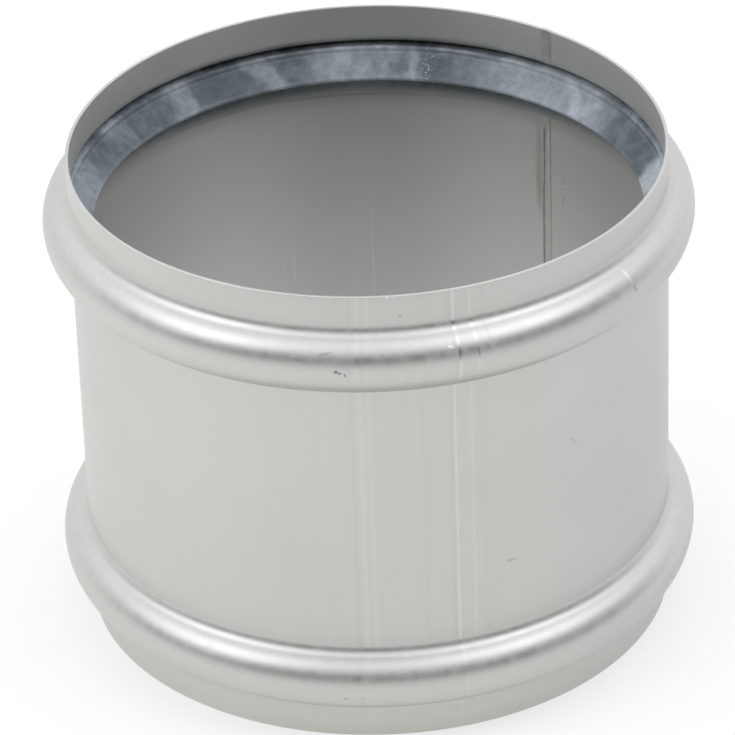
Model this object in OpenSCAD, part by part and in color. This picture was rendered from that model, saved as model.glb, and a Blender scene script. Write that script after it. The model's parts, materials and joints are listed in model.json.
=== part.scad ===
// Push-fit pipe coupling: a short sheet-metal sleeve that joins two round ducts or flue pipes.
// One strip of thin stainless sheet is rolled round and butt-welded along its seam. A bead is
// rolled outwards near each end, and each bead holds a rubber lip seal that grips the pipe.
// The sleeve stands upright: its axis is Z, and its lower rim lies in the XY plane.

/* [Pipe] */
// Outer diameter of the pipes that push in at both ends
pipe_d = 100; // [80:1:200]
// Gap all round between the pipe and the sleeve's bore
pipe_clearance = 0.4; // [0.2:0.1:1]

/* [Sleeve] */
// Thickness of the stainless sheet
sheet_t = 0.6; // [0.4:0.1:1]
// Height of the whole sleeve
sleeve_h = 86; // [60:1:300]
// Height of the straight collar above the upper bead
upper_collar_h = 5.05; // [4:0.05:15]
// Height of the straight collar below the lower bead
lower_collar_h = 5.75; // [4:0.05:15]

/* [Beads] */
// How far a bead stands out from the sleeve's outer wall
bead_rise = 4.45; // [4:0.05:5]
// Outer radius of a bead's crown below its crest
lower_crown_r = 6.2; // [5.5:0.1:7]
// Outer radius of a bead's crown above its crest
upper_crown_r = 4.9; // [4.5:0.1:6]
// Fillet in the outer corner below a bead
lower_fillet = 0.5; // [0.3:0.1:1]
// Fillet in the outer corner above a bead
upper_fillet = 2.2; // [1:0.1:3]

/* [Seam] */
// Direction of the welded seam round the sleeve, in degrees from +X
seam_angle = 50.5; // [0:0.5:360]
// Width of the weld between the two edges of the sheet
seam_w = 1.9; // [1:0.1:4]
// How far the weld stands proud of the sheet, inside and outside
seam_crown = 0.06; // [0.02:0.02:0.1]

/* [Seals] */
// Gap between a seal and the inside of the bead that holds it
seal_clearance = 0.05; // [0.02:0.01:0.2]
// How far a seal's body sits back from the sleeve's bore
seal_setback = 0.05; // [0.02:0.01:0.2]
// How far the body reaches past its bead's crest on that side
body_reach = 3.45; // [3:0.05:3.8]
// Radius of the body's rounded edge on that side
body_round = 0.8; // [0.6:0.1:1]
// How far the hollow under the lip reaches past the crest on the other side
hollow_reach = 3.2; // [3:0.1:4.5]
// How far a lip reaches in from the sleeve's bore
lip_reach = 3.55; // [3:0.05:4]
// Drop of the lip from the body's rounded edge to its own
lip_drop = 3.7; // [3:0.1:4]
// Thickness of the lip's rounded edge
lip_edge_t = 1.1; // [0.6:0.1:1.2]

/* [Hidden] */

bore_r = pipe_d / 2 + pipe_clearance;
wall_r = bore_r + sheet_t;

// A bead's crown is two arcs that meet at its crest. Each arc runs into the fillet on its side, and
// the two overlap by a hair, so that rounding can't part them.
hair = 0.0001;
lower_bead_half = sqrt(bead_rise * (2 * lower_crown_r + 2 * lower_fillet - bead_rise)) - hair;
upper_bead_half = sqrt(bead_rise * (2 * upper_crown_r + 2 * upper_fillet - bead_rise)) - hair;
lower_crest_z = lower_collar_h + lower_bead_half;
upper_crest_z = sleeve_h - upper_collar_h - upper_bead_half;

// The weld takes this much of the full turn, and the rolled sheet takes the rest.
seam_deg = 2 * asin(seam_w / 2 / wall_r);

// A lip's upper face ends at its rounded edge. The hollow under the lip starts there too, and runs
// into the upright face of the seal's body.
face_x = bore_r + seal_setback;
round_x = face_x + body_round;
round_z = body_reach - body_round;
edge_r = lip_edge_t / 2;
edge_x = bore_r - lip_reach + edge_r;
edge_z = round_z - lip_drop;
lip_angle = atan2(lip_drop, round_x - edge_x);
hollow_r = (pow(face_x - edge_x, 2) + pow(hollow_reach + edge_z, 2) - pow(edge_r, 2))
    / 2 / (face_x - edge_x + edge_r);

metal = [0.76, 0.76, 0.74];
weld_metal = [0.66, 0.66, 0.65];
rubber = [0.36, 0.39, 0.43];
$fn = 180;

// Everything from the axis out to the sheet's outer face, moved inwards by inset.
module filled_section(inset) {
    square([wall_r - inset, sleeve_h]);
    for (z = [lower_crest_z, upper_crest_z]) {
        translate([0, z]) filled_bead(inset);
    }
}

module filled_bead(inset) {
    filled_half(upper_crown_r, upper_fillet, upper_bead_half, inset);
    mirror([0, 1]) filled_half(lower_crown_r, lower_fillet, lower_bead_half, inset);
}

module filled_half(crown_r, fillet, half_h, inset) {
    crown_x = wall_r + bead_rise - crown_r;
    intersection() {
        translate([crown_x, 0]) circle(r = crown_r - inset);
        square([2 * wall_r, half_h]);
    }
    difference() {
        polygon([[0, 0], [crown_x, 0], [wall_r + fillet, half_h], [0, half_h]]);
        translate([wall_r + fillet, half_h]) circle(r = fillet + inset);
    }
}

// The wall's cross-section, thickened on both faces by grow.
module wall_section(grow) {
    difference() {
        filled_section(-grow);
        filled_section(sheet_t + grow);
    }
}

// A seal's cross-section, measured from its bead's crest. Both halves of its back follow the bead's
// upper half, so that it fits either way up.
module seal_section() {
    edge = [edge_x, edge_z];
    hollow = [face_x - hollow_r, -hollow_reach];
    upper_face = (edge_r - hair) * [-sin(lip_angle), cos(lip_angle)];
    intersection() {
        union() {
            for (way = [0, 1]) {
                mirror([0, way]) {
                    filled_half(upper_crown_r, upper_fillet, upper_bead_half, sheet_t + seal_clearance);
                }
            }
        }
        difference() {
            polygon([
                edge,
                hollow,
                [face_x, -hollow_reach],
                [face_x, -upper_bead_half],
                [2 * wall_r, -upper_bead_half],
                [2 * wall_r, body_reach],
                [round_x, body_reach],
                [round_x, round_z] + upper_face,
                edge + upper_face
            ]);
            translate(hollow) circle(r = hollow_r + hair);
        }
    }
    translate(edge) circle(r = edge_r);
    translate([round_x, round_z]) circle(r = body_round);
}

module sleeve() {
    color(metal)
        rotate([0, 0, seam_angle + seam_deg / 2])
            rotate_extrude(angle = 360 - seam_deg) wall_section(0);
}

module seam_weld() {
    color(weld_metal)
        rotate([0, 0, seam_angle - seam_deg / 2])
            rotate_extrude(angle = seam_deg) wall_section(seam_crown);
}

module upper_seal() {
    color(rubber)
        translate([0, 0, upper_crest_z]) rotate_extrude() seal_section();
}

module lower_seal() {
    color(rubber)
        translate([0, 0, lower_crest_z]) mirror([0, 0, 1]) rotate_extrude() seal_section();
}

sleeve();
seam_weld();
upper_seal();
lower_seal();
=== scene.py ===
"""Round duct coupling: a rolled stainless sleeve with two beads, a welded seam and two lip seals.

The outline of each piece is drawn upright in the XZ plane as a maker would sketch it, one straight
line or arc after another, and is then spun round the sleeve's axis, Z. All lengths are in metres.
"""

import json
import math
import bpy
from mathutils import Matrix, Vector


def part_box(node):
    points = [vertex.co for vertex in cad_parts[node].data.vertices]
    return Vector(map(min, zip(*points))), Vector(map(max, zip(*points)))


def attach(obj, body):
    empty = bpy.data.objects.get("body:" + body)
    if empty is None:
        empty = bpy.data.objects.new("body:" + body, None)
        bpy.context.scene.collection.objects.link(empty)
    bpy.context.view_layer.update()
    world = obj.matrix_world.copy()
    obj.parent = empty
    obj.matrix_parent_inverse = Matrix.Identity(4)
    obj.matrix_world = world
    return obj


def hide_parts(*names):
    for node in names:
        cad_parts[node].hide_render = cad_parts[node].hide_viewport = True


bl_info = {
    "name": "Round Duct Coupling",
    "version": (1, 0, 0),
    "blender": (4, 5, 0),
    "location": "3D View > Sidebar > Coupling",
    "description": "Models a beaded sheet-metal duct coupling with a welded seam and lip seals",
    "category": "Add Mesh",
}

import bpy
from bpy.props import FloatProperty, FloatVectorProperty, IntProperty, PointerProperty
from mathutils import Euler, Vector

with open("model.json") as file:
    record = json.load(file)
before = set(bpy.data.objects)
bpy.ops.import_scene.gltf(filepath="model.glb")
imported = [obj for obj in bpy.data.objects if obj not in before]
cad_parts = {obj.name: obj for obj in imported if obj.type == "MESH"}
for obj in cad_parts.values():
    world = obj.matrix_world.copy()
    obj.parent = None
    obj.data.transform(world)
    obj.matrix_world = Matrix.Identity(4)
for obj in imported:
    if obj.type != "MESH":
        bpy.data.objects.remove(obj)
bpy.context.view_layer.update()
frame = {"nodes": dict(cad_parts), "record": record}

MM = 0.001
BODY = "root"
MOUNTS = {mount["name"]: mount for mount in frame["record"]["mounts"]}
# Vertices closer than this are the same point, and an outline's ends are this exact.
SAME_POINT = 0.002 * MM
# Edges that bend by less than this look smooth.
SMOOTH_ANGLE = math.radians(35)


def mount_size(name, key):
    """A mount's stated size, in metres."""
    return MOUNTS[name]["dims"][key] * MM


def radii(node):
    """The smallest and largest distance of a CAD node's surface from the axis."""
    found = [math.hypot(v.co.x, v.co.y) for v in frame["nodes"][node].data.vertices]
    return min(found), max(found)


def reach(node):
    """How far a CAD node's box reaches out from the axis, on the side where it reaches least."""
    low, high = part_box(node)
    return min(-low.x, -low.y, high.x, high.y)


def middle_direction(node):
    """The direction of a CAD node round the axis, as an angle from +X."""
    low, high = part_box(node)
    return math.atan2(low.y + high.y, low.x + high.x)


# ---------------------------------------------------------------- sizes and colours


def length(name, default, description):
    return FloatProperty(
        name=name, description=description, default=default, min=0.0, precision=5, unit="LENGTH"
    )


def angle(name, default, description):
    return FloatProperty(
        name=name, description=description, default=default, subtype="ANGLE", unit="ROTATION"
    )


def share(name, default, description):
    return FloatProperty(
        name=name, description=description, default=default, min=0.0, max=1.0, subtype="FACTOR"
    )


def level(name, default, description):
    return FloatProperty(name=name, description=description, default=default, min=0.0)


def colour(name, default, description):
    return FloatVectorProperty(
        name=name, description=description, default=default, size=3, min=0.0, max=1.0, subtype="COLOR"
    )


class SleeveSettings(bpy.types.PropertyGroup):
    """Sizes of the rolled sheet and of the weld that closes it."""

    bore_radius: length("Bore radius", mount_size("upper_socket", "r_mm"), "Inside of the plain wall")
    wall_radius: length("Wall radius", mount_size("clip_band", "r_mm"), "Outside of the plain wall")
    height: length("Height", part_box("sleeve")[1].z, "Height of the whole sleeve")
    lower_collar: length(
        "Lower collar", mount_size("lower_socket", "length_mm"), "Wall below the lower bead"
    )
    upper_collar: length(
        "Upper collar", mount_size("upper_socket", "length_mm"), "Wall above the upper bead"
    )
    bead_radius: length("Bead radius", reach("sleeve"), "Outside of each bead at its crest")
    lower_crown: length("Lower crown", 6.2 * MM, "Radius of a bead's crown below its crest")
    upper_crown: length("Upper crown", 4.9 * MM, "Radius of a bead's crown above its crest")
    lower_fillet: length("Lower fillet", 0.5 * MM, "Fillet in the corner below a bead")
    upper_fillet: length("Upper fillet", 2.2 * MM, "Fillet in the corner above a bead")
    edge_round: length("Edge round", 0.12 * MM, "Rounding of the sheet's cut edges")
    roller_mark: length("Roller mark", 4.6 * MM, "Height of the line the bead roller left near the foot")
    mark_depth: length("Mark depth", 0.03 * MM, "Depth of that line")
    seam_direction: angle("Seam direction", middle_direction("seam_weld"), "Where the seam stands")
    seam_width: length("Seam width", 1.9 * MM, "Width of the weld between the sheet's edges")
    weld_crown: length("Weld crown", 0.06 * MM, "How far the weld stands proud of the sheet")
    turn_steps: IntProperty(
        name="Steps in a turn", description="Facets in a full turn", default=360, min=24, max=720
    )
    arc_steps: IntProperty(
        name="Steps in a crown", description="Facets over half a bead's crown", default=14, min=4, max=32
    )


class SealSettings(bpy.types.PropertyGroup):
    """Sizes of a lip seal and of the body that holds it in its bead."""

    lip_radius: length("Lip radius", radii("upper_seal")[0], "Inside of the relaxed lip")
    setback: length("Setback", 0.05 * MM, "How far the body sits back from the bore")
    clearance: length("Clearance", 0.05 * MM, "Gap between the body and the bead")
    body_reach: length("Body reach", 3.45 * MM, "Reach past the crest on the side the pipe comes from")
    body_round: length("Body round", 0.8 * MM, "Rounded edge of the body on that side")
    hollow_reach: length("Hollow reach", 3.2 * MM, "Reach of the hollow under the lip past the crest")
    lip_drop: length("Lip drop", 3.7 * MM, "How far the lip slants towards the sleeve's middle")
    lip_edge: length("Lip edge", 1.1 * MM, "Thickness of the lip's rounded edge")
    crease_round: length("Crease round", 0.3 * MM, "Length of the fillet between body and lip")


class FinishSettings(bpy.types.PropertyGroup):
    """Colours and roughness of the three finishes."""

    steel: colour("Steel", (0.62, 0.62, 0.578), "Bare stainless sheet")
    inner_steel: colour("Inner steel", (0.615, 0.62, 0.59), "Bare stainless sheet, inner face")
    blush: colour("Blush", (0.628, 0.608, 0.567), "Bare stainless sheet where it is a little warmer")
    steel_roughness: share("Steel roughness", 0.46, "Roughness of the sheet's outer face")
    inner_roughness: share("Inner roughness", 0.60, "Roughness of the sheet's inner face")
    heat_tint: colour("Heat tint", (0.42, 0.39, 0.33), "Sheet browned by the heat of the weld")
    weld: colour("Weld", (0.62, 0.61, 0.58), "Bare weld metal")
    rubber: colour("Rubber", (0.0955, 0.121, 0.135), "Seal rubber without talc")
    talc: colour("Talc", (0.458, 0.503, 0.528), "Seal rubber under a thick dusting of talc")
    # Partly talc and partly painted light: this pale grey and the dark rubber above it paint the lip's
    # soft shadow fading out.
    foot: colour("Foot", (0.39, 0.39, 0.38), "Seal rubber at its foot, where dust gathers")
    rubber_roughness: share("Rubber roughness", 0.62, "Roughness of the seals")


class StageSettings(bpy.types.PropertyGroup):
    """The floor, the lamps and the camera."""

    floor_size: length("Floor size", 6.0, "Side of the square floor")
    floor: colour("Floor", (0.82, 0.82, 0.82), "Paper of the floor")
    lamp_colour: colour("Lamp colour", (0.955, 0.955, 1.0), "Colour of both lamps")
    left_lamp: level("Left lamp", 2.10, "How bright the face of the left lamp is")
    right_lamp: level("Right lamp", 1.93, "How bright the face of the right lamp is")
    lens: FloatProperty(
        name="Lens", description="Focal length on a 36 mm sensor", default=244.03, unit="CAMERA"
    )
    camera_place: FloatVectorProperty(
        name="Camera place",
        description="Where the camera stands",
        default=(-0.001143, -0.737357, 0.492823),
        size=3,
        subtype="TRANSLATION",
        unit="LENGTH",
    )
    view_down: angle("View down", math.radians(31.459), "How far the camera looks below the horizon")
    view_roll: angle("View roll", math.radians(-2.011), "How far the camera is turned round its view")


# ---------------------------------------------------------------- drawing and spinning


def begin_outline(name, across, up):
    """Starts an outline with one selected vertex, in edit mode."""
    bpy.ops.object.select_all(action="DESELECT")
    bpy.ops.mesh.primitive_plane_add(size=MM, location=(across, 0, up))
    piece = bpy.context.object
    piece.name = name
    piece.data.name = name
    bpy.ops.object.mode_set(mode="EDIT")
    bpy.ops.mesh.select_mode(type="VERT")
    bpy.ops.mesh.select_all(action="SELECT")
    bpy.ops.mesh.merge(type="CENTER")
    return piece


def draw_line(across, up):
    """Carries the outline on in a straight line by this much outwards and upwards."""
    bpy.ops.mesh.extrude_vertices_move(TRANSFORM_OT_translate={"value": (across, 0, up)})


def draw_arc(centre, turn, steps):
    """Carries the outline on round a centre. A positive turn takes an upward line outwards."""
    bpy.ops.mesh.spin(
        steps=steps, angle=-turn, center=(centre[0], 0, centre[1]), axis=(0, 1, 0)
    )


def join_doubles():
    """Selects the whole mesh and joins the vertices that lie on each other."""
    bpy.ops.mesh.select_all(action="SELECT")
    bpy.ops.mesh.remove_doubles(threshold=SAME_POINT)


def spin_outline(piece, start, turn, steps):
    """Spins the whole outline round Z, from one direction through a turn, and joins a full turn up."""
    join_doubles()
    bpy.ops.object.mode_set(mode="OBJECT")
    bpy.ops.object.transform_apply(location=True, rotation=True, scale=True)
    piece.rotation_euler.z = start
    bpy.ops.object.transform_apply(location=True, rotation=True, scale=True)
    bpy.ops.object.mode_set(mode="EDIT")
    bpy.ops.mesh.select_all(action="SELECT")
    bpy.ops.mesh.spin(steps=steps, angle=-turn, center=(0, 0, 0), axis=(0, 0, 1))
    join_doubles()
    bpy.ops.mesh.normals_make_consistent(inside=False)
    bpy.ops.object.mode_set(mode="OBJECT")


def pick(piece, kind, wanted):
    """Selects the vertices or edges that pass a test, and nothing else, and opens edit mode."""
    bpy.ops.object.mode_set(mode="EDIT")
    bpy.ops.mesh.select_mode(type="EDGE" if kind == "edges" else "VERT")
    bpy.ops.mesh.select_all(action="DESELECT")
    bpy.ops.object.mode_set(mode="OBJECT")
    places = [vertex.co for vertex in piece.data.vertices]
    for item in getattr(piece.data, kind):
        ends = item.vertices if kind == "edges" else [item.index]
        item.select = wanted(*(places[index] for index in ends))
    bpy.ops.object.mode_set(mode="EDIT")


def across_of(place):
    """Distance from the axis."""
    return math.hypot(place.x, place.y)


def round_corner(piece, corner, size):
    """Rounds the corner of an outline that lies this far out and this high."""
    join_doubles()
    place = Vector((corner[0], 0, corner[1])) - piece.location
    pick(piece, "vertices", lambda at: (at - place).length < 5 * SAME_POINT)
    bpy.ops.mesh.bevel(offset=size, segments=4, affect="VERTICES")


def thicken(piece, thickness):
    """Gives a spun outer face its thickness, inwards."""
    modifier = piece.modifiers.new("Thickness", "SOLIDIFY")
    modifier.thickness = thickness
    modifier.offset = -1.0
    modifier.use_even_offset = True
    bpy.ops.object.modifier_apply(modifier=modifier.name)


def finish_piece(piece, material, nodes):
    """Gives the piece its finish and its place in the frame."""
    bpy.ops.object.shade_smooth_by_angle(angle=SMOOTH_ANGLE)
    piece.data.materials.clear()
    piece.data.materials.append(material)
    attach(piece, BODY)
    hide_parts(*nodes)


# ---------------------------------------------------------------- node helpers


def node(tree, kind, inputs=None, **options):
    """Adds a node, sets its options and fills its inputs with values or links."""
    made = tree.nodes.new(kind)
    for key, value in options.items():
        setattr(made, key, value)
    for key, value in (inputs or {}).items():
        if isinstance(value, bpy.types.NodeSocket):
            tree.links.new(value, made.inputs[key])
        else:
            made.inputs[key].default_value = value
    return made


def maths(tree, operation, *values):
    """A Math node's result."""
    return node(tree, "ShaderNodeMath", dict(enumerate(values)), operation=operation).outputs[0]


def vectors(tree, operation, *values):
    """A Vector Math node's result: a number for a length or a dot product, and else a vector."""
    made = node(tree, "ShaderNodeVectorMath", dict(enumerate(values)), operation=operation)
    return made.outputs["Value" if operation in ("LENGTH", "DOT_PRODUCT") else "Vector"]


def axes_of(tree, vector):
    """A vector's three parts."""
    return node(tree, "ShaderNodeSeparateXYZ", {0: vector}).outputs


def off(tree, value, centre):
    """How far a value is from a centre, either way."""
    return maths(tree, "ABSOLUTE", maths(tree, "SUBTRACT", value, centre))


def ramp(tree, value, low, high, to_low=0.0, to_high=1.0):
    """Eases from to_low to to_high as the value goes from low to high."""
    inputs = {"Value": value, "From Min": low, "From Max": high, "To Min": to_low, "To Max": to_high}
    return node(
        tree, "ShaderNodeMapRange", inputs, interpolation_type="SMOOTHSTEP"
    ).outputs["Result"]


def band(tree, value, start, full, fading, gone):
    """Eases from 0 to 1 between start and full, and back to 0 between fading and gone."""
    return maths(
        tree, "MULTIPLY", ramp(tree, value, start, full), ramp(tree, value, fading, gone, 1.0, 0.0)
    )


def total(tree, start, parts):
    """A start value plus each part times its weight."""
    value = start
    for weight, part in parts:
        value = maths(tree, "MULTIPLY_ADD", part, weight, value)
    return value


def noise(tree, vector, scale, detail=2.0, roughness=0.5, stretch=(1, 1, 1)):
    """Noise on Object coordinates, stretched along each axis."""
    mapped = node(tree, "ShaderNodeMapping", {"Vector": vector, "Scale": stretch}).outputs[0]
    inputs = {"Vector": mapped, "Scale": scale, "Detail": detail, "Roughness": roughness}
    return node(tree, "ShaderNodeTexNoise", inputs).outputs["Fac"]


def mix_colour(tree, factor, low, high, blend_type="MIX"):
    """Mixes two colours."""
    made = node(tree, "ShaderNodeMix", data_type="RGBA", blend_type=blend_type)
    for socket, value in zip((0, 6, 7), (factor, low, high)):
        if isinstance(value, bpy.types.NodeSocket):
            tree.links.new(value, made.inputs[socket])
        elif socket:
            made.inputs[socket].default_value = (*value, 1.0)
        else:
            made.inputs[socket].default_value = value
    return made.outputs[2]


def shade(tree, base, tone):
    """A colour made lighter or darker by a tone."""
    grey = node(tree, "ShaderNodeCombineColor", {0: tone, 1: tone, 2: tone}).outputs[0]
    return mix_colour(tree, 1.0, base, grey, "MULTIPLY")


def new_material(name):
    """An empty material with its node tree, its shader and its texture coordinates."""
    material = bpy.data.materials.new(name)
    material.use_nodes = True
    tree = material.node_tree
    tree.nodes.clear()
    shader = node(tree, "ShaderNodeBsdfPrincipled")
    output = node(tree, "ShaderNodeOutputMaterial")
    tree.links.new(shader.outputs[0], output.inputs["Surface"])
    return material, tree, shader, node(tree, "ShaderNodeTexCoord").outputs


def add_bump(tree, shader, height, strength, distance):
    """Gives the shader a bump from a height of 0 to 1."""
    inputs = {"Strength": strength, "Distance": distance, "Height": height}
    bump = node(tree, "ShaderNodeBump", inputs)
    tree.links.new(bump.outputs[0], shader.inputs["Normal"])


def spot(tree, place, degrees, radius, height, wide, tall, tilt=0.0):
    """A soft-edged oval on the round, placed by its direction and sized in millimetres: 0 to 1.

    It reaches at least 3 mm inwards and outwards, so that the surface can curve through it.
    """
    direction = math.radians(degrees)
    inputs = {
        "Vector": place,
        "Location": (radius * MM * math.cos(direction), radius * MM * math.sin(direction), height * MM),
        "Rotation": (math.radians(tilt), 0, direction),
        "Scale": (max(wide, tall, 3) * MM, wide * MM, tall * MM),
    }
    mapped = node(tree, "ShaderNodeMapping", inputs, vector_type="TEXTURE").outputs[0]
    return ramp(tree, vectors(tree, "LENGTH", mapped), 0.35, 1.0, 1.0, 0.0)


def stripe(tree, turn, degrees, width):
    """A soft upright line at this direction, this many degrees wide: 0 to 1."""
    beside = off(tree, turn, math.radians(degrees))
    return ramp(tree, beside, math.radians(width) * 0.15, math.radians(width) * 0.6, 1.0, 0.0)


def stripes(tree, turn, rows):
    """All the upright lines of a table, each by its share."""
    return total(tree, 0.0, [(part, stripe(tree, turn, at, width)) for at, width, part in rows])


# ---------------------------------------------------------------- the sheet's finish


# Upright lines rolled into the sheet: direction in degrees, width in degrees, share of polish.
ROLLED_LINES = (
    (-75.4, 0.5, 1.0),
    (-76.2, 0.5, -0.35),
    (-72.2, 0.6, 0.5),
    (-93.0, 0.9, 0.35),
    (-91.3, 0.9, 0.3),
    (-86.0, 0.8, 0.12),
    (-78.6, 0.5, 0.15),
    (-94.5, 0.6, -0.3),
    (-82.8, 0.6, 0.15),
    (-81.5, 0.6, -0.2),
    (-69.8, 0.6, -0.25),
)
# The direction, in degrees, round which the rolls pressed the grain in hardest.
HARD_ROLLED = -84
# The lines inside, which are polished only in the lower half.
INNER_LINES = ((89.3, 0.45, 1.0), (93.0, 0.6, 0.3), (105.8, 0.4, 0.8), (108.2, 0.4, 0.5))
# Scuffs: direction in degrees, radius, height, width and height in mm, tilt in degrees, darkness.
SCUFFS = (
    (263.5, 55.3, 74.7, 0.5, 0.32, 15, 0.7),
    (264.1, 55.3, 74.45, 0.45, 0.26, -12, 0.65),
    (265.0, 55.4, 74.1, 0.2, 0.5, 0, 0.6),
    (261.6, 54.6, 77.4, 1.6, 0.28, 10, 0.24),
    (256.8, 54.7, 76.4, 0.8, 0.3, -12, 0.22),
    (284.5, 55.0, 75.9, 0.25, 1.1, 0, 0.3),
    (287.9, 55.0, 75.7, 0.25, 1.1, 0, 0.3),
    (321.7, 54.8, 76.0, 0.35, 1.0, 15, 0.3),
    (309.5, 51.0, 50.4, 0.6, 0.22, -45, 0.25),
    (310.3, 51.0, 49.8, 0.22, 0.45, 10, 0.2),
    (295.3, 51.0, 31.4, 1.6, 0.32, 0, 0.22),
    (263.0, 55.4, 10.4, 0.6, 0.25, -15, 0.35),
    (266.0, 55.4, 10.5, 0.3, 0.25, 0, 0.35),
    (274.9, 51.0, 82.3, 0.25, 0.2, 0, 0.5),
    (46.2, 50.4, 56.4, 0.3, 0.35, 0, 0.3),
    (46.5, 50.4, 55.2, 0.25, 0.3, 0, 0.28),
    (45.7, 50.4, 57.6, 0.2, 0.2, 0, 0.25),
    (46.3, 50.4, 52.8, 0.4, 1.4, 5, 0.12),
    (49.1, 50.4, 82.8, 0.22, 4.0, 0, 0.25),
    (50.2, 50.4, 82.6, 0.25, 1.6, 12, 0.14),
)
# Nick marks with a painted glint, in the same terms, with brightness last.
NICK_GLINTS = (
    (283.2, 54.4, 77.4, 0.8, 0.28, -15, 0.9),
    (321.4, 53.9, 77.9, 0.5, 1.7, 0, 0.5),
    (272.7, 51.0, 85.8, 0.35, 0.25, 0, 0.6),
)
# Where the weld's heat browned the sheet, and where the front is a little warmer, in spot's terms.
HEAT_HALO = (52.3, 50.4, 58.0, 1.1, 12.0)
WARM_FRONT = (272, 51, 58, 14, 24)
# Heights of the band of painted shade that the upper seal casts on the metal under and behind it, as
# band takes them.
SEAL_SHADE_BAND = (65.5 * MM, 68.5 * MM, 72 * MM, 78 * MM)


def outer_painted_side_light(tree, across, sleeve):
    """Painted light over the outer face: a little lighter on the left, where the light comes from, than
    on the right.
    """
    ends = {"From Min": -sleeve.wall_radius, "From Max": sleeve.wall_radius}
    tones = {"To Min": 0.03, "To Max": -0.10}
    return node(tree, "ShaderNodeMapRange", {"Value": across, **ends, **tones}).outputs["Result"]


def inner_painted_light(tree, across, height):
    """Painted light over the inner face: brighter towards its foot and in its upper collar, dimmer down
    its middle, with painted shade under the upper seal.
    """
    # Painted reflection: dimmer down the middle, where across is small, than at the sides.
    painted_dim_middle = ramp(tree, maths(tree, "ABSOLUTE", across), 3 * MM, 31 * MM, -0.205, 0.0)
    painted_light_towards_foot = maths(tree, "MULTIPLY_ADD", height, -5.2, 0.385)
    return total(
        tree,
        maths(tree, "ADD", painted_dim_middle, painted_light_towards_foot),
        [(-0.16, band(tree, height, *SEAL_SHADE_BAND)), (0.06, ramp(tree, height, 75 * MM, 80 * MM))],
    )


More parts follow.
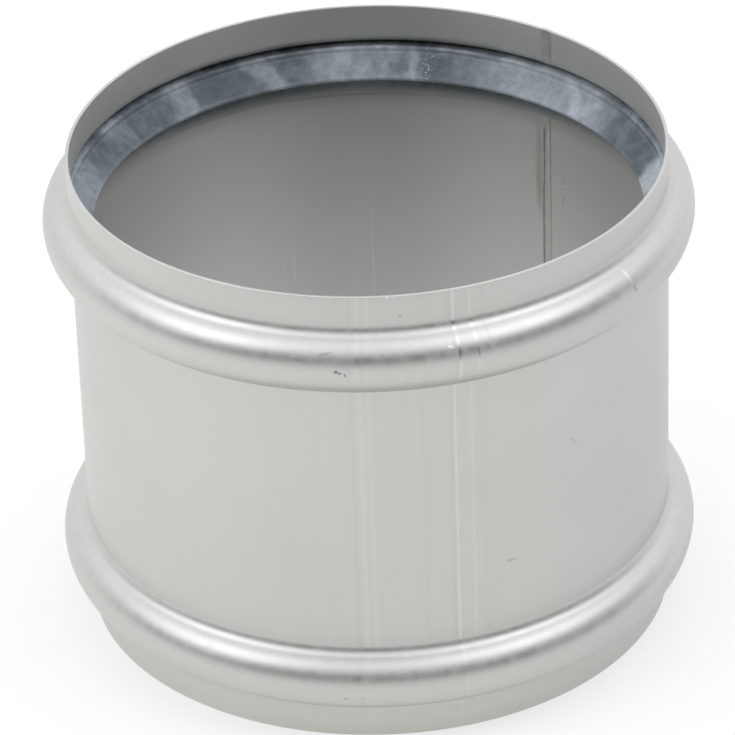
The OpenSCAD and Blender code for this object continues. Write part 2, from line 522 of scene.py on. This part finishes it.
def steel_finish(finish, sleeve):
    """Matt rolled sheet: fine upright grain, polished lines, a few scuffs and glinting nick marks, and
    painted light: a slow drift of tone outside, brighter and dimmer places inside, and shade under the
    seal.
    """
    material, tree, shader, coordinates = new_material("stainless_sheet")
    place = coordinates["Object"]
    across, along, height = axes_of(tree, place)
    upwards = axes_of(tree, coordinates["Normal"])[2]
    turn = maths(tree, "ARCTAN2", along, across)
    flat = node(tree, "ShaderNodeCombineXYZ", {0: across, 1: along}).outputs[0]
    facing = vectors(tree, "DOT_PRODUCT", flat, coordinates["Normal"])
    inside = maths(tree, "LESS_THAN", facing, 0.0)
    outside = maths(tree, "SUBTRACT", 1.0, inside)

    grain = noise(tree, place, 1400.0, detail=4.0, roughness=0.6, stretch=(1, 1, 0.012))
    cloud = noise(tree, place, 24.0, detail=3.0, roughness=0.55, stretch=(1, 1, 1.5))
    grain_share = ramp(tree, off(tree, turn, math.radians(HARD_ROLLED)), 0.25, 0.45, 1.5, 0.5)
    # The beads' upper flanks were stretched most, which left short ribs in them.
    ribs = noise(tree, place, 650.0, detail=3.0, roughness=0.6, stretch=(1, 1, 0.06))
    ribs = maths(
        tree, "MULTIPLY", ramp(tree, ribs, 0.3, 0.7, -0.03, 0.03), ramp(tree, upwards, 0.05, 0.4)
    )
    ribs = maths(tree, "MULTIPLY", ribs, outside)
    # The painted side light goes only on faces that look level or downwards, not on the beads' upper
    # flanks.
    level_or_down = maths(tree, "MULTIPLY", ramp(tree, upwards, 0.05, 0.4, 1.0, 0.0), outside)

    tone = maths(tree, "MULTIPLY_ADD", outer_painted_side_light(tree, across, sleeve), level_or_down, 1.0)
    # Painted light and shade on the inner face.
    tone = maths(tree, "MULTIPLY_ADD", inner_painted_light(tree, across, height), inside, tone)
    tone = total(
        tree,
        tone,
        [
            (1.0, ribs),
            (grain_share, ramp(tree, grain, 0.25, 0.75, -0.010, 0.010)),
            (1.0, ramp(tree, cloud, 0.3, 0.7, -0.022, 0.022)),
        ],
    )
    for *where, dark in SCUFFS:
        radius = where[1] * MM
        face = outside if radius > sleeve.wall_radius - sleeve.edge_round else inside
        mark = maths(tree, "MULTIPLY", spot(tree, place, *where), face)
        tone = maths(tree, "MULTIPLY", tone, maths(tree, "MULTIPLY_ADD", mark, -dark, 1.0))
    polish = maths(tree, "MULTIPLY", stripes(tree, turn, ROLLED_LINES), outside)
    sheen = maths(tree, "MULTIPLY", polish, ramp(tree, height, 15 * MM, 20 * MM))
    lower_half = ramp(tree, height, 40 * MM, 52 * MM, 1.0, 0.0)
    inner_polish = maths(tree, "MULTIPLY", stripes(tree, turn, INNER_LINES), lower_half)
    inner_polish = maths(tree, "MULTIPLY", inner_polish, inside)
    # Nick marks whose brightness is a painted glint.
    nick_glints = total(tree, 0.0, [(bright, spot(tree, place, *where)) for *where, bright in NICK_GLINTS])
    tone = total(tree, tone, [(0.04, polish), (0.08, inner_polish), (0.5, nick_glints)])

    cooler = maths(tree, "MAXIMUM", inside, ramp(tree, across, 5 * MM, 50 * MM, 0.0, 0.6))
    bare = mix_colour(tree, cooler, tuple(finish.steel), tuple(finish.inner_steel))
    blush = maths(tree, "MULTIPLY", spot(tree, place, *WARM_FRONT), 0.5)
    bare = mix_colour(tree, maths(tree, "MULTIPLY", blush, outside), bare, tuple(finish.blush))
    steel = shade(tree, bare, tone)
    scorched = maths(
        tree, "MULTIPLY", spot(tree, place, *HEAT_HALO), ramp(tree, cloud, 0.3, 0.6, 0.2, 0.6)
    )
    steel = mix_colour(tree, scorched, steel, tuple(finish.heat_tint))
    tree.links.new(steel, shader.inputs["Base Color"])
    shader.inputs["Metallic"].default_value = 1.0

    rougher_inside = finish.inner_roughness - finish.steel_roughness
    rough = total(
        tree,
        maths(tree, "MULTIPLY_ADD", inside, rougher_inside, finish.steel_roughness),
        [
            (grain_share, ramp(tree, grain, 0.25, 0.75, -0.012, 0.012)),
            (1.0, ramp(tree, cloud, 0.3, 0.7, -0.015, 0.015)),
            (-0.14, sheen),
            (1.0, ribs),
            (-0.2, nick_glints),
        ],
    )
    tree.links.new(rough, shader.inputs["Roughness"])
    add_bump(tree, shader, grain, 0.12, 0.02 * MM)
    return material


# ---------------------------------------------------------------- the weld's finish


# How far from the seam's middle the weld's two toe lines lie. The rough one leans with height.
ROUGH_TOE = 1.65 * MM
TOE_LEAN = -0.0205
THIN_TOE = -0.86 * MM
# How far the rough toe wanders, from side to side.
TOE_WANDER = 0.5 * MM


def weld_finish(finish, direction):
    """Weld metal: a ripple, a rough dark toe line on one side and a thin one on the other, and painted
    shade under the upper seal.
    """
    material, tree, shader, coordinates = new_material("weld")
    place = coordinates["Object"]
    side = (-math.sin(direction), math.cos(direction), 0)
    across = vectors(tree, "DOT_PRODUCT", place, side)
    height = axes_of(tree, place)[2]
    ripple = noise(tree, place, 700.0, detail=3.0, stretch=(1, 1, 0.6))
    ragged = noise(tree, place, 900.0, detail=2.0, stretch=(1, 1, 0.25))

    toe = maths(tree, "MULTIPLY_ADD", height, TOE_LEAN, ROUGH_TOE)
    wander = maths(tree, "MULTIPLY_ADD", ragged, TOE_WANDER, -TOE_WANDER / 2)
    off_toe = off(tree, across, maths(tree, "ADD", toe, wander))
    below_seal = ramp(tree, height, 65.5 * MM, 67.5 * MM, 1.0, 0.0)
    rough_line = maths(
        tree, "MULTIPLY", ramp(tree, off_toe, 0.08 * MM, 0.34 * MM, 1.0, 0.0), below_seal
    )
    thin_line = ramp(tree, off(tree, across, THIN_TOE), 0.03 * MM, 0.13 * MM, 1.0, 0.0)
    thin_line = maths(tree, "MULTIPLY", thin_line, ramp(tree, height, 45 * MM, 62 * MM, 0.35, 1.0))
    thin_line = maths(tree, "MULTIPLY", thin_line, ramp(tree, height, 71 * MM, 80 * MM, 1.0, 0.3))

    duller_collar = ramp(tree, height, 71 * MM, 80 * MM, 1.0, 0.9)
    # Painted shade under the upper seal, the same band as on the sheet.
    tone = total(
        tree,
        maths(tree, "MULTIPLY", ramp(tree, ripple, 0.3, 0.7, 1.0, 1.14), duller_collar),
        [(-0.14, band(tree, height, *SEAL_SHADE_BAND)), (-0.5, rough_line), (-0.28, thin_line)],
    )
    tree.links.new(shade(tree, tuple(finish.weld), tone), shader.inputs["Base Color"])
    shader.inputs["Metallic"].default_value = 1.0
    tree.links.new(ramp(tree, ripple, 0.3, 0.7, 0.5, 0.58), shader.inputs["Roughness"])
    add_bump(tree, shader, ripple, 0.3, 0.04 * MM)
    return material


# ---------------------------------------------------------------- the seals' finish


# Where the talc lies thick: direction in degrees, width and height in mm, tilt in degrees, amount.
TALC_PATCHES = (
    (4.5, 6, 7, 0, 0.85),
    (48, 21, 9, 0, 0.52),
    (41.5, 1.6, 8, -58, 0.32),
    (37, 2.5, 2.5, 0, 0.2),
    (80, 2, 5, -10, 0.3),
    (91, 14, 9, 0, 0.36),
    (95, 2, 6, 0, 0.15),
    (111, 2.6, 9, -50, 0.36),
    (131, 4, 8, 12, 0.42),
    (149.5, 3, 6, -15, 0.18),
    (172, 9, 8, 0, 0.4),
    (200, 16, 8, 0, 0.5),
    (238, 14, 9, 20, 0.45),
    (275, 18, 9, 0, 0.55),
    (318, 12, 9, -25, 0.5),
)
# Places rubbed bare of it again, in the same terms.
BARE_PATCHES = (
    (18, 7, 8, 10, -0.09),
    (74, 3, 4, -20, -0.1),
    (82.5, 1.6, 5, 25, -0.2),
    (87, 2.2, 4, 0, -0.17),
    (103, 5, 9, -35, -0.08),
    (120, 7, 9, 0, -0.08),
)
# A narrow place where the talc has clotted into specks: direction, width and height.
CLOTTED = (76.5, 1.3, 7)
# Radius of a patch's middle on the lip, in mm, and how far it lies past the crest.
PATCH_RADIUS = 48.8
CLOT_RADIUS = 49.0
PATCH_RISE = 1.0
# How far the noise pulls a patch's outline about.
PATCH_PULL = 7 * MM


def ragged_place(tree, place, away):
    """The place on a seal, pulled about by noise, with its distance from the middle as its height."""
    inputs = {"Vector": place, "Scale": 210.0, "Detail": 3.0}
    waver = node(tree, "ShaderNodeTexNoise", inputs).outputs["Color"]
    either_way = vectors(tree, "SUBTRACT", waver, (0.5, 0.5, 0.5))
    inputs = {0: either_way, "Scale": PATCH_PULL}
    pull = node(tree, "ShaderNodeVectorMath", inputs, operation="SCALE").outputs[0]
    flat = vectors(tree, "MULTIPLY", vectors(tree, "ADD", place, pull), (1, 1, 0))
    lifted = node(tree, "ShaderNodeCombineXYZ", {2: away}).outputs[0]
    return vectors(tree, "ADD", flat, lifted)


def rubber_finish(finish, sleeve, seal):
    """Blue-grey rubber with talc in soft patches and down in its foot, painted highlights along its
    upper edge and lip tip, and painted shade under the lip and in the groove.

    Both seals share it: heights count away from the sleeve's middle, so one mirrors the other.
    """
    material, tree, shader, coordinates = new_material("seal_rubber")
    place = coordinates["Object"]
    bead = BeadShape(sleeve)
    middle = (bead.lower_crest + bead.upper_crest) / 2
    crest = (bead.upper_crest - bead.lower_crest) / 2
    top = crest + seal.body_reach
    across, along, height = axes_of(tree, place)
    away = off(tree, height, middle)
    turn = maths(tree, "ARCTAN2", along, across)

    where = ragged_place(tree, place, away)
    centre = crest / MM + PATCH_RISE
    patches = [
        (amount, spot(tree, where, at, PATCH_RADIUS, centre, wide, tall, tilt))
        for at, wide, tall, tilt, amount in TALC_PATCHES + BARE_PATCHES
    ]
    cloud = noise(tree, place, 160.0, detail=5.0, roughness=0.62)
    wipe = noise(tree, place, 420.0, detail=3.0, stretch=(1, 1, 0.5))
    thin_dust = [
        (1.0, ramp(tree, cloud, 0.3, 0.7, 0.0, 0.16)),
        (1.0, ramp(tree, wipe, 0.3, 0.7, -0.05, 0.09)),
    ]

    # Painted highlight along the body's rounded upper edge, given in the talc colour and broken up by
    # noise.
    broken = ramp(tree, cloud, 0.4, 0.6, 0.15, 1.0)
    edge = maths(tree, "MULTIPLY", ramp(tree, away, top - 0.4 * MM, top - 0.12 * MM), broken)
    off_crease = off(tree, away, top - seal.body_round)
    crease = ramp(tree, off_crease, 0.1 * MM, 0.4 * MM, 1.0, 0.0)
    # The lip's tip is lighter: talc, and a painted highlight where its rounded edge catches the light.
    tip_talc_and_highlight = ramp(tree, away, crest - 1.0 * MM, crest - 0.4 * MM, 1.0, 0.0)
    # Hair marks: noise drawn out ten times round the seal.
    drawn_out = node(
        tree, "ShaderNodeCombineXYZ", {0: maths(tree, "MULTIPLY", turn, 5 * MM), 1: away}
    ).outputs[0]
    hairs = ramp(tree, noise(tree, drawn_out, 3200.0, detail=3.0), 0.56, 0.7)
    hairs = maths(tree, "MULTIPLY", hairs, ramp(tree, away, crest + 0.4 * MM, crest + 2.2 * MM))
    specks = ramp(tree, noise(tree, place, 2200.0, detail=1.0), 0.6, 0.7)
    at, wide, tall = CLOTTED
    clotted = maths(
        tree, "MULTIPLY", specks, spot(tree, where, at, CLOT_RADIUS, centre, wide, tall)
    )
    marks = [(0.5, edge), (0.1, crease), (0.22, tip_talc_and_highlight), (0.14, hairs), (0.06, specks), (0.8, clotted)]
    # Real talc together with the painted highlights of the upper edge and the lip tip.
    dust_and_painted_light = node(tree, "ShaderNodeClamp", {"Value": total(tree, 0.0, patches + thin_dust + marks)})

    # Painted shade under the lip: the rubber there is darkened.
    painted_shade_under_lip = ramp(tree, away, crest - 2.0 * MM, crest - 1.4 * MM, 0.6, 1.0)
    # Painted shade in the groove above the body: darker at the front and back, and paler at the sides.
    groove_painted_shade = ramp(tree, maths(tree, "ABSOLUTE", across), 15 * MM, 40 * MM, -0.45, 0.1)
    groove = ramp(tree, away, top - 0.05 * MM, top - 0.01 * MM)
    tone = maths(tree, "MULTIPLY", painted_shade_under_lip, maths(tree, "MULTIPLY_ADD", groove, groove_painted_shade, 1.0))
    fleck = noise(tree, place, 700.0, detail=4.0, roughness=0.7)
    tone = maths(tree, "MULTIPLY", tone, ramp(tree, fleck, 0.3, 0.7, 0.87, 1.13))
    skin = mix_colour(tree, dust_and_painted_light.outputs[0], tuple(finish.rubber), tuple(finish.talc))
    # Talc and painted shade: the foot is pale, and fades towards the lip into the darkened rubber there,
    # a painted soft shadow of the lip.
    foot = ramp(tree, away, crest - 6.1 * MM, crest - 3.6 * MM, 1.0, 0.0)
    skin = mix_colour(tree, foot, shade(tree, skin, tone), tuple(finish.foot))
    tree.links.new(skin, shader.inputs["Base Color"])
    shader.inputs["Roughness"].default_value = finish.rubber_roughness
    add_bump(tree, shader, noise(tree, place, 1800.0, detail=2.0), 0.2, 0.03 * MM)
    return material


# ---------------------------------------------------------------- the sleeve and its weld


class BeadShape:
    """The arcs of a bead's outer face, from its lower corner to its upper corner."""

    def __init__(self, sleeve):
        self.lower_across = sleeve.bead_radius - sleeve.lower_crown
        self.upper_across = sleeve.bead_radius - sleeve.upper_crown
        self.lower_half, self.lower_turn = self.half(sleeve, sleeve.lower_crown, sleeve.lower_fillet)
        self.upper_half, self.upper_turn = self.half(sleeve, sleeve.upper_crown, sleeve.upper_fillet)
        self.lower_crest = sleeve.lower_collar + self.lower_half
        self.upper_crest = sleeve.height - sleeve.upper_collar - self.upper_half

    @staticmethod
    def half(sleeve, crown, fillet):
        """Height of one half of a bead, and the turn of its crown and of its fillet."""
        inwards = crown + fillet - (sleeve.bead_radius - sleeve.wall_radius)
        height = math.sqrt((crown + fillet) ** 2 - inwards**2)
        return height, math.atan2(height, inwards)


def draw_bead(sleeve, bead, crest):
    """Draws a bead whose crest is at this height: fillet, two halves of the crown, fillet."""
    lower_corner = (sleeve.wall_radius + sleeve.lower_fillet, crest - bead.lower_half)
    upper_corner = (sleeve.wall_radius + sleeve.upper_fillet, crest + bead.upper_half)
    draw_arc(lower_corner, bead.lower_turn, 5)
    draw_arc((bead.lower_across, crest), -bead.lower_turn, sleeve.arc_steps)
    draw_arc((bead.upper_across, crest), -bead.upper_turn, sleeve.arc_steps)
    draw_arc(upper_corner, bead.upper_turn, 8)


def draw_wall(name, sleeve, proud=0.0):
    """Draws the outline of the sheet's outer face from rim to rim, moved outwards by proud."""
    bead = BeadShape(sleeve)
    depth = sleeve.mark_depth
    slope = 4 * depth
    piece = begin_outline(name, sleeve.wall_radius + proud, 0)
    draw_line(0, sleeve.roller_mark - slope)
    draw_line(-depth, slope)
    draw_line(depth, slope)
    draw_line(0, sleeve.lower_collar - sleeve.roller_mark - slope)
    draw_bead(sleeve, bead, bead.lower_crest)
    draw_line(0, bead.upper_crest - bead.lower_half - bead.lower_crest - bead.upper_half)
    draw_bead(sleeve, bead, bead.upper_crest)
    draw_line(0, sleeve.upper_collar)
    return piece


def seam_turn(sleeve):
    """The share of the full turn that the weld takes, as an angle."""
    return 2 * math.asin(sleeve.seam_width / 2 / sleeve.wall_radius)


class COUPLING_OT_sleeve(bpy.types.Operator):
    """Rolls the stainless sheet into the beaded sleeve, open along its seam"""

    bl_idname = "coupling.sleeve"
    bl_label = "Sleeve"
    bl_options = {"REGISTER", "UNDO"}

    def execute(self, context):
        sleeve = context.scene.coupling_sleeve
        piece = draw_wall("rolled_sleeve", sleeve)
        gap = seam_turn(sleeve)
        spin_outline(piece, sleeve.seam_direction + gap / 2, 2 * math.pi - gap, sleeve.turn_steps)
        thickness = sleeve.wall_radius - sleeve.bore_radius
        thicken(piece, thickness)
        near = thickness / 3

        def runs_round_a_rim(one, other):
            level_with_rim = any(
                abs(one.z - rim) < near and abs(other.z - rim) < near for rim in (0.0, sleeve.height)
            )
            return level_with_rim and abs(across_of(one) - across_of(other)) < near

        pick(piece, "edges", runs_round_a_rim)
        bpy.ops.mesh.bevel(offset=sleeve.edge_round, segments=3, affect="EDGES")
        bpy.ops.object.mode_set(mode="OBJECT")
        material = steel_finish(context.scene.coupling_finish, sleeve)
        finish_piece(piece, material, ["sleeve"])
        return {"FINISHED"}


class COUPLING_OT_seam_weld(bpy.types.Operator):
    """Lays the weld that closes the seam"""

    bl_idname = "coupling.seam_weld"
    bl_label = "Seam weld"
    bl_options = {"REGISTER", "UNDO"}

    def execute(self, context):
        sleeve = context.scene.coupling_sleeve
        crown = sleeve.weld_crown
        piece = draw_wall("seam_weld_bead", sleeve, crown)
        turn = seam_turn(sleeve)
        spin_outline(piece, sleeve.seam_direction - turn / 2, turn, 8)
        thicken(piece, sleeve.wall_radius - sleeve.bore_radius + 2 * crown)
        material = weld_finish(context.scene.coupling_finish, sleeve.seam_direction)
        finish_piece(piece, material, ["seam_weld"])
        return {"FINISHED"}


# ---------------------------------------------------------------- the seals


def draw_seal(name, sleeve, seal, crest, way):
    """Draws a seal's outline in the bead with this crest. Its lip slants inwards and along -way.

    Places are worked out from the crest, upwards, and way turns them over for the lower seal.
    """
    bead = BeadShape(sleeve)
    inset = sleeve.wall_radius - sleeve.bore_radius + seal.clearance
    back = sleeve.upper_crown - inset
    fillet = sleeve.upper_fillet + inset
    fillet_centre = Vector((sleeve.wall_radius + sleeve.upper_fillet, -bead.upper_half))
    face = sleeve.bore_radius + seal.setback
    foot_turn = math.acos((fillet_centre.x - face) / fillet)
    foot = Vector((face, fillet_centre.y + fillet * math.sin(foot_turn)))
    edge_round = seal.lip_edge / 2
    rounding = Vector((face + seal.body_round, seal.body_reach - seal.body_round))
    edge = Vector((seal.lip_radius + edge_round, rounding.y - seal.lip_drop))
    hollow_end = Vector((face, -seal.hollow_reach))
    step = hollow_end - edge
    hollow = (step.length_squared - edge_round**2) / 2 / (step.x + edge_round)
    hollow_centre = hollow_end - Vector((hollow, 0))
    hollow_turn = math.atan2(edge.y - hollow_centre.y, edge.x - hollow_centre.x)
    along = (rounding - edge).normalized()
    slant = math.atan2(along.y, along.x)
    upper_face = edge_round * Vector((-along.y, along.x))
    crease_turn = math.asin(edge_round / seal.body_round)
    crease = rounding + upper_face - seal.body_round * math.cos(crease_turn) * along
    top_turn = math.asin(seal.body_reach / back)
    top_corner = Vector((bead.upper_across + back * math.cos(top_turn), seal.body_reach))

    def line_to(start, stop):
        draw_line(stop.x - start.x, way * (stop.y - start.y))

    def arc_round(centre, turn, steps):
        draw_arc((centre[0], crest + way * centre[1]), way * turn, steps)

    piece = begin_outline(name, foot.x, crest + way * foot.y)
    line_to(foot, hollow_end)
    arc_round(hollow_centre, -hollow_turn, 12)
    arc_round(edge, math.pi / 2 + hollow_turn - slant, 10)
    line_to(edge + upper_face, crease)
    arc_round(rounding, math.pi / 2 + slant - crease_turn, 8)
    line_to(Vector((rounding.x, seal.body_reach)), top_corner)
    arc_round((bead.upper_across, 0), top_turn + bead.upper_turn, 20)
    arc_round(fillet_centre, foot_turn - bead.upper_turn, 6)
    round_corner(piece, (crease.x, crest + way * crease.y), seal.crease_round)
    return piece


class COUPLING_OT_seals(bpy.types.Operator):
    """Moulds the two lip seals into their beads"""

    bl_idname = "coupling.seals"
    bl_label = "Seals"
    bl_options = {"REGISTER", "UNDO"}

    def execute(self, context):
        sleeve = context.scene.coupling_sleeve
        seal = context.scene.coupling_seal
        material = rubber_finish(context.scene.coupling_finish, sleeve, seal)
        bead = BeadShape(sleeve)
        seals = (("upper_seal", bead.upper_crest, 1), ("lower_seal", bead.lower_crest, -1))
        for node_name, crest, way in seals:
            piece = draw_seal(node_name + "_rubber", sleeve, seal, crest, way)
            spin_outline(piece, 0.0, 2 * math.pi, sleeve.turn_steps)
            finish_piece(piece, material, [node_name])
        return {"FINISHED"}


# ---------------------------------------------------------------- the stage


# How far below the coupling the floor lies, so that their faces don't meet.
FLOOR_GAP = 0.1 * MM
# How strongly the floor glows where the camera or the metal sees it, and the colour it keeps there.
FLOOR_GLOW = 0.62
GLOWING_PAPER = (0.38, 0.38, 0.38)
LAMP_DISTANCE = 1.2
LAMP_AIM = Vector((0, 0, 0.04))


def floor_finish(stage, sleeve):
    """Pale plain floor. Seen by the camera or in the metal it glows, so that only shadows darken it."""
    material = bpy.data.materials.new("floor_paper")
    material.use_nodes = True
    tree = material.node_tree
    shader = tree.nodes["Principled BSDF"]
    path = node(tree, "ShaderNodeLightPath").outputs
    place = node(tree, "ShaderNodeTexCoord").outputs["Object"]
    across = vectors(tree, "LENGTH", place)
    seen = maths(tree, "MAXIMUM", path["Is Camera Ray"], path["Is Glossy Ray"])
    # Inside the sleeve the floor is in the coupling's own shade.
    shaded = ramp(tree, across, sleeve.bore_radius - 1 * MM, sleeve.wall_radius, 0.6, 1.0)
    seen = maths(tree, "MULTIPLY", seen, shaded)
    paper = mix_colour(tree, seen, tuple(stage.floor), GLOWING_PAPER)
    tree.links.new(paper, shader.inputs["Base Color"])
    shader.inputs["Emission Color"].default_value = (1, 1, 1, 1)
    tree.links.new(maths(tree, "MULTIPLY", seen, FLOOR_GLOW), shader.inputs["Emission Strength"])
    shader.inputs["Roughness"].default_value = 0.9
    shader.inputs["Specular IOR Level"].default_value = 0.0
    return material


def studio_world(world):
    """A pale, slightly cool room, with a dark end towards -Y that the metal picks up."""
    world.use_nodes = True
    tree = world.node_tree
    tree.nodes.clear()
    axes = axes_of(tree, node(tree, "ShaderNodeTexCoord").outputs["Generated"])
    towards_front = ramp(tree, axes[1], -0.35, 0.59, 1.0, 0.0)
    between_floor_and_lamps = band(tree, axes[2], -0.01, 0.12, 0.53, 0.72)
    dark = maths(tree, "MULTIPLY", towards_front, between_floor_and_lamps)
    pale = ramp(tree, axes[2], 0.3, 1.0, 1.0, 1.22)
    strength = maths(tree, "MULTIPLY", pale, ramp(tree, dark, 0.0, 1.0, 1.0, 0.08))
    path = node(tree, "ShaderNodeLightPath").outputs
    strength = maths(tree, "MAXIMUM", strength, path["Is Camera Ray"])
    cool = mix_colour(tree, path["Is Camera Ray"], (1.0, 1.0, 1.08), (1, 1, 1))
    background = node(tree, "ShaderNodeBackground", {"Color": cool, "Strength": strength})
    output = node(tree, "ShaderNodeOutputWorld")
    tree.links.new(background.outputs[0], output.inputs["Surface"])


def add_softbox(name, tint, direction, rise, width, radiance):
    """A round soft lamp, placed round the coupling by its direction and rise, and aimed at it."""
    turn = math.radians(direction)
    lift = math.radians(rise)
    flat = Vector((math.cos(turn), math.sin(turn), 0))
    towards = math.cos(lift) * flat + math.sin(lift) * Vector((0, 0, 1))
    light = bpy.data.lights.new(name, "AREA")
    light.shape = "DISK"
    light.color = tint
    light.size = width
    light.energy = radiance * (math.pi * width / 2) ** 2
    lamp = bpy.data.objects.new(name, light)
    bpy.context.scene.collection.objects.link(lamp)
    lamp.location = LAMP_AIM + LAMP_DISTANCE * towards
    lamp.rotation_euler = towards.to_track_quat("Z", "Y").to_euler()


def add_camera(scene, stage):
    """The camera, looking down at the coupling and turned a little round its view."""
    data = bpy.data.cameras.new("camera")
    data.lens = stage.lens
    data.clip_start = 0.01
    camera = bpy.data.objects.new("camera", data)
    scene.collection.objects.link(camera)
    camera.location = stage.camera_place
    tilt = Euler((math.pi / 2 - stage.view_down, 0, 0)).to_matrix()
    roll = Euler((0, 0, stage.view_roll)).to_matrix()
    camera.rotation_euler = (tilt @ roll).to_euler()
    scene.camera = camera


class COUPLING_OT_stage(bpy.types.Operator):
    """Sets the floor, the lamps and the camera"""

    bl_idname = "coupling.stage"
    bl_label = "Stage"
    bl_options = {"REGISTER", "UNDO"}

    def execute(self, context):
        scene = context.scene
        stage = scene.coupling_stage
        bpy.ops.object.select_all(action="DESELECT")
        bpy.ops.mesh.primitive_plane_add(size=stage.floor_size, location=(0, 0, -FLOOR_GAP))
        floor = bpy.context.object
        floor.name = "floor"
        floor.data.materials.append(floor_finish(stage, scene.coupling_sleeve))

        scene.world = scene.world or bpy.data.worlds.new("studio")
        studio_world(scene.world)
        add_softbox("left_softbox", stage.lamp_colour, -161, 43, 0.78, stage.left_lamp)
        add_softbox("right_softbox", stage.lamp_colour, -20, 55, 0.68, stage.right_lamp)
        add_camera(scene, stage)
        scene.view_settings.view_transform = "Standard"
        return {"FINISHED"}


class COUPLING_PT_panel(bpy.types.Panel):
    """Buttons and sizes of the coupling"""

    bl_label = "Duct coupling"
    bl_idname = "COUPLING_PT_panel"
    bl_space_type = "VIEW_3D"
    bl_region_type = "UI"
    bl_category = "Coupling"

    def draw(self, context):
        layout = self.layout
        for operator in OPERATORS:
            layout.operator(operator.bl_idname)
        for name in SETTINGS:
            group = getattr(context.scene, name)
            box = layout.box()
            for key in group.__annotations__:
                box.prop(group, key)


SETTINGS = {
    "coupling_sleeve": SleeveSettings,
    "coupling_seal": SealSettings,
    "coupling_finish": FinishSettings,
    "coupling_stage": StageSettings,
}
OPERATORS = (COUPLING_OT_sleeve, COUPLING_OT_seam_weld, COUPLING_OT_seals, COUPLING_OT_stage)


def register():
    for name, group in SETTINGS.items():
        bpy.utils.register_class(group)
        setattr(bpy.types.Scene, name, PointerProperty(type=group))
    for operator in OPERATORS:
        bpy.utils.register_class(operator)
    bpy.utils.register_class(COUPLING_PT_panel)


def unregister():
    bpy.utils.unregister_class(COUPLING_PT_panel)
    for operator in reversed(OPERATORS):
        bpy.utils.unregister_class(operator)
    for name, group in SETTINGS.items():
        delattr(bpy.types.Scene, name)
        bpy.utils.unregister_class(group)


def main():
    register()
    bpy.ops.coupling.sleeve()
    bpy.ops.coupling.seam_weld()
    bpy.ops.coupling.seals()
    bpy.ops.coupling.stage()


if __name__ == "__main__":
    main()
